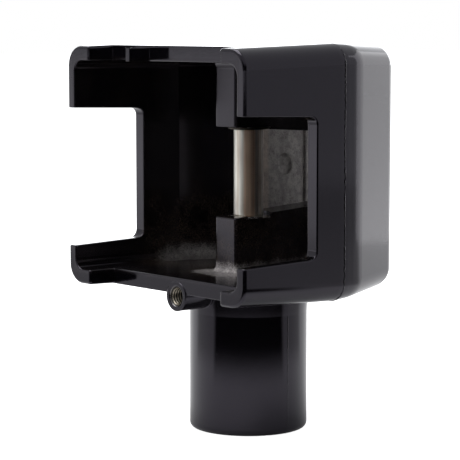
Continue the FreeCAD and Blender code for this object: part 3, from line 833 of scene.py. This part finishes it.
class BRACKET_OT_set_stage(bpy.types.Operator):
    """Set up the floor, the soft lights and the camera"""

    bl_idname = "bracket.set_stage"
    bl_label = "Set the Stage"

    def execute(self, context):
        stage = context.scene.bracket.stage
        toward = Vector((math.sin(stage.azimuth) * math.cos(stage.pitch),
                         -math.cos(stage.azimuth) * math.cos(stage.pitch), math.sin(stage.pitch)))
        ahead = floor_heading(toward)
        self.lay_floor(stage, ahead)
        self.lay_cloth(ahead)
        self.light_room(context, stage, ahead)
        self.add_softboxes(stage)
        bpy.ops.object.camera_add(
            location=Vector(stage.aim) + toward * stage.distance,
            rotation=(math.pi / 2 - stage.pitch, 0, stage.azimuth))
        camera = context.object
        camera.data.lens = stage.lens
        camera.data.sensor_width = 36
        camera.data.clip_start, camera.data.clip_end = 0.01, 50
        context.scene.camera = camera
        context.scene.view_settings.view_transform = "Standard"
        return {"FINISHED"}

    @staticmethod
    def lay_floor(stage, ahead):
        """A pale floor, lit evenly for the lens and, far to the left, for reflections too."""
        deselect_all()
        bpy.ops.mesh.primitive_plane_add(size=12, location=(0, 0, SPIGOT_END))
        floor = start_piece("floor")
        bpy.ops.mesh.subdivide(number_cuts=3)
        bpy.ops.object.mode_set(mode="OBJECT")
        material, shader = new_material("pale_floor")
        point, (x, y, _) = shader.place()
        away = (x ** 2 + y ** 2) ** 0.5
        cloud = shader.noise(point, 90.0, detail=2.0)
        grain = shader.noise(point, 1.2, detail=2.0)
        tone = shader.mix(cloud, rgba(stage.floor, 0.985), rgba(stage.floor, 1.015))
        lens = shader.node("ShaderNodeLightPath", output="Is Camera Ray")
        left = ((x * ahead.y - y * ahead.x) / away).rise(-0.3, 0.3) * away.rise(500.0, 1400.0)
        glow = 1 - (1 - lens) * (1 - left * 0.8)
        shader.finish(shader.node(
            "ShaderNodeBsdfPrincipled", None,
            {"Base Color": tone, "Roughness": 0.8 + (grain - 0.5) * 0.1,
             "Specular IOR Level": 0.0, "Emission Strength": stage.floor_glow,
             "Emission Color": shader.mix(glow, BLACK, WHITE),
             "Normal": shader.bump(grain, 0.02 * MM, 0.3)}))
        dress(floor, material)
        return floor

    @staticmethod
    def lay_cloth(ahead):
        """A black cloth just over the floor, before and beside the bracket, that only reflections show."""
        deselect_all()
        bpy.ops.mesh.primitive_plane_add(size=6, location=(0, 0, SPIGOT_END + 0.5 * MM))
        cloth = start_piece("black_cloth")
        bpy.ops.mesh.subdivide(number_cuts=2)
        bpy.ops.object.mode_set(mode="OBJECT")
        cloth.visible_camera = cloth.visible_diffuse = cloth.visible_shadow = False
        material, shader = new_material("black_cloth")
        point, (x, y, _) = shader.place()
        away = (x ** 2 + y ** 2) ** 0.5
        facing = (x * ahead.x + y * ahead.y) / away
        beside = (y * ahead.x - x * ahead.y) / away
        front = facing.rise(0.32, 0.46) * away.rise(90.0, 190.0)
        sides = (away.rise(120.0, 190.0) * (away - beside.rise(0.0, 0.3) * 450.0).rise(650.0, 480.0)
                 * facing.rise(-0.5, -0.3))
        shader.finish(shader.node(
            "ShaderNodeBsdfPrincipled", None,
            {"Base Color": shader.mix(shader.noise(point, 0.8), CLOTH_DARK, CLOTH_PALE),
             "Alpha": 1 - (1 - front) * (1 - sides * 0.42),
             "Roughness": 1.0, "Specular IOR Level": 0.0}))
        dress(cloth, material)
        return cloth

    @staticmethod
    def light_room(context, stage, ahead):
        """A pale room, dark on the camera's side and bright straight behind; the lens sees it white."""
        world = bpy.data.worlds.new("studio")
        context.scene.world = world
        shader = Shader(world)
        direction = shader.node("ShaderNodeTexCoord", output="Generated")
        flat = shader.node("ShaderNodeVectorMath", {"operation": "MULTIPLY"},
                           {0: direction, 1: (1, 1, 0)})
        level = shader.node("ShaderNodeVectorMath", {"operation": "NORMALIZE"}, {0: flat})
        facing = shader.node("ShaderNodeVectorMath", {"operation": "DOT_PRODUCT"},
                             {0: level, 1: ahead}, output="Value")
        height = shader.node("ShaderNodeSeparateXYZ", None, {0: direction}, output="Z")
        dark = facing.rise(0.32, 0.5) * height.rise(0.6, 0.2)
        behind = facing.rise(-0.76, -0.93) * height.rise(0.45, 0.15)
        strength = stage.sky * (1 - dark * 0.97) + behind * stage.backdrop
        room = shader.node("ShaderNodeBackground", None,
                           {"Color": (0.96, 0.975, 1.0, 1), "Strength": strength})
        plain = shader.node("ShaderNodeBackground", None, {"Color": WHITE, "Strength": 1.0})
        lens = shader.node("ShaderNodeLightPath", output="Is Camera Ray")
        both = shader.node("ShaderNodeMixShader", None, {0: lens, 1: room, 2: plain})
        shader.node("ShaderNodeOutputWorld", None, {"Surface": both})

    @staticmethod
    def add_softboxes(stage):
        """One softbox overhead and one standing on the floor behind."""
        boxes = (
            ("top_softbox", (-0.3, -0.25, 0.95), (-0.2, -0.15, 0.02), 0.9, 0.9, stage.top_light),
            ("rear_softbox", (0.05, 0.56, 0.12), (0, 0, 0.09), 0.42, 0.46, stage.back_light),
        )
        for name, place, aim, width, length, power in boxes:
            lamp = bpy.data.lights.new(name, "AREA")
            lamp.shape = "RECTANGLE"
            lamp.size, lamp.size_y = width, length
            lamp.energy = power
            box = bpy.data.objects.new(name, lamp)
            bpy.context.scene.collection.objects.link(box)
            box.location = place
            box.rotation_euler = (Vector(aim) - Vector(place)).to_track_quat("-Z", "Y").to_euler()
            box.visible_camera = False


class BRACKET_PT_panel(bpy.types.Panel):
    """The bracket's settings and steps, in the 3D view's sidebar"""

    bl_idname = "BRACKET_PT_panel"
    bl_label = "Umbrella Swivel Bracket"
    bl_space_type = "VIEW_3D"
    bl_region_type = "UI"
    bl_category = "Bracket"

    def draw(self, context):
        settings = context.scene.bracket
        for group in (settings.sizes, settings.finishes, settings.stage):
            box = self.layout.box()
            for name in group.bl_rna.properties.keys():
                if name not in {"rna_type", "name"}:
                    box.prop(group, name)
        for operator in STEPS:
            self.layout.operator(operator.bl_idname)


STEPS = (
    BRACKET_OT_paint_casting, BRACKET_OT_finish_pivot, BRACKET_OT_finish_bolt, BRACKET_OT_add_flash,
    BRACKET_OT_cut_thread, BRACKET_OT_add_ejector_mark, BRACKET_OT_set_stage,
)
CLASSES = (BracketSizes, BracketFinishes, BracketStage, BracketSettings, *STEPS, BRACKET_PT_panel)


def register():
    """Add the classes and the scene's settings."""
    for kind in CLASSES:
        bpy.utils.register_class(kind)
    bpy.types.Scene.bracket = bpy.props.PointerProperty(type=BracketSettings)


def unregister():
    """Take the settings and the classes away again."""
    del bpy.types.Scene.bracket
    for kind in reversed(CLASSES):
        bpy.utils.unregister_class(kind)


def main():
    """Build everything."""
    register()
    bpy.ops.bracket.paint_casting()
    bpy.ops.bracket.finish_pivot()
    bpy.ops.bracket.finish_bolt()
    bpy.ops.bracket.add_flash()
    bpy.ops.bracket.cut_thread()
    bpy.ops.bracket.add_ejector_mark()
    bpy.ops.bracket.set_stage()


if __name__ == "__main__":
    main()
